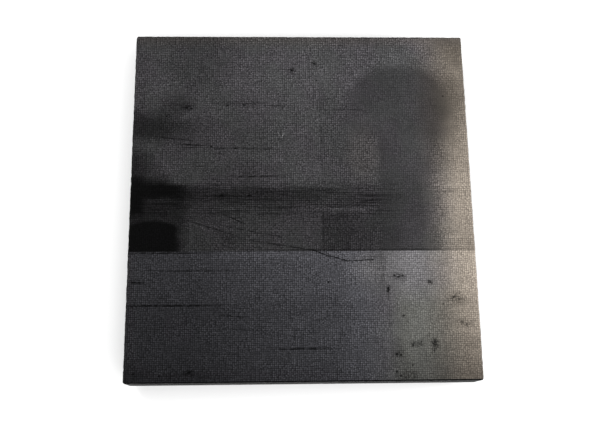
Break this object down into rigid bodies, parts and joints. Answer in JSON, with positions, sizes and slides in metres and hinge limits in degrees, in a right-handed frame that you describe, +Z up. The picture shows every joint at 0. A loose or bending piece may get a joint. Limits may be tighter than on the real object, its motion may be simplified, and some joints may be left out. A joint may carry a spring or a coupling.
{
  "type": "granite tooling slab",
  "caption": "Nearly square leathered granite slab on glued rubber feet: a flat, heavy bench surface for stamping, punching and tooling leather.",
  "frame": {"origin": "on the bench, under the middle of the slab: the centre of the rectangle in the plane of the four foot soles", "axes": "+Z up through the work face; +X to the worker's right, along the shorter side; +Y away from the worker, along the longer side"},
  "size_m": [0.292, 0.305, 0.0374],
  "materials": {
    "granite": "satin",
    "black_rubber": "matte",
    "white_foam": "matte"
  },
  "bodies": {
    "root": {"stone_slab": "granite", "foot_front_left": "black_rubber", "foot_front_right": "black_rubber", "foot_back_left": "black_rubber", "foot_back_right": "black_rubber", "adhesive_pad_front_left": "white_foam", "adhesive_pad_front_right": "white_foam", "adhesive_pad_back_left": "white_foam", "adhesive_pad_back_right": "white_foam"}
  },
  "joints": []
}
